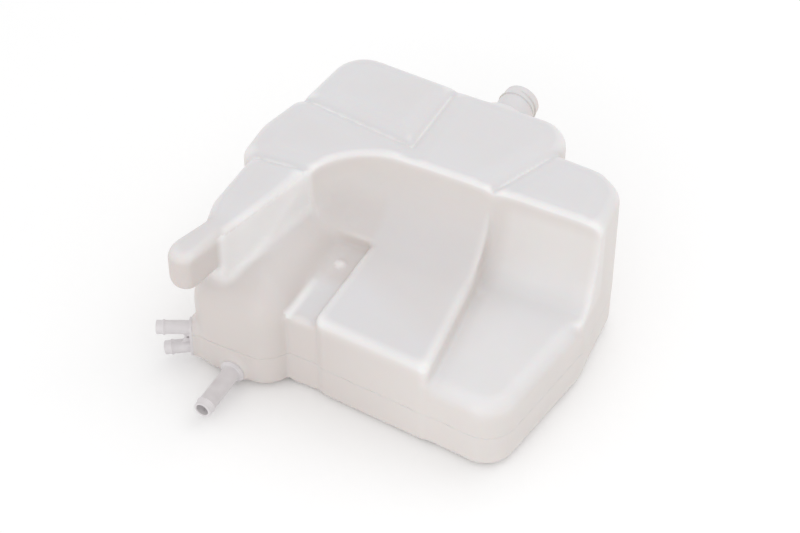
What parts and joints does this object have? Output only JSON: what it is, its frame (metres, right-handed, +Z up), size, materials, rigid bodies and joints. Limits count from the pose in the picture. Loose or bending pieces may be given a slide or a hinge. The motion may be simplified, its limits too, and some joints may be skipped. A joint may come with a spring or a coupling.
{
  "type": "coolant expansion tank",
  "caption": "Flat translucent plastic coolant expansion tank with pillow-shaped chambers round a recess, a filler neck, an outlet spigot and paired vent spigots.",
  "frame": {"origin": "middle of the flat underside, as the tank lies", "axes": "+Z up, +X to the tank's right, +Y to the back, where the filler neck points; the outlet points to -Y"},
  "size_m": [0.305, 0.328, 0.14],
  "materials": {
    "natural_plastic": "milky, slightly translucent moulded plastic with a soft sheen",
    "fitting_plastic": "milky plastic, a little greyer than the shells"
  },
  "bodies": {
    "root": {"lower_shell": "natural_plastic", "upper_shell": "natural_plastic", "filler_neck": "natural_plastic", "vent_spigots": "fitting_plastic", "outlet_spigot": "fitting_plastic"}
  },
  "joints": []
}
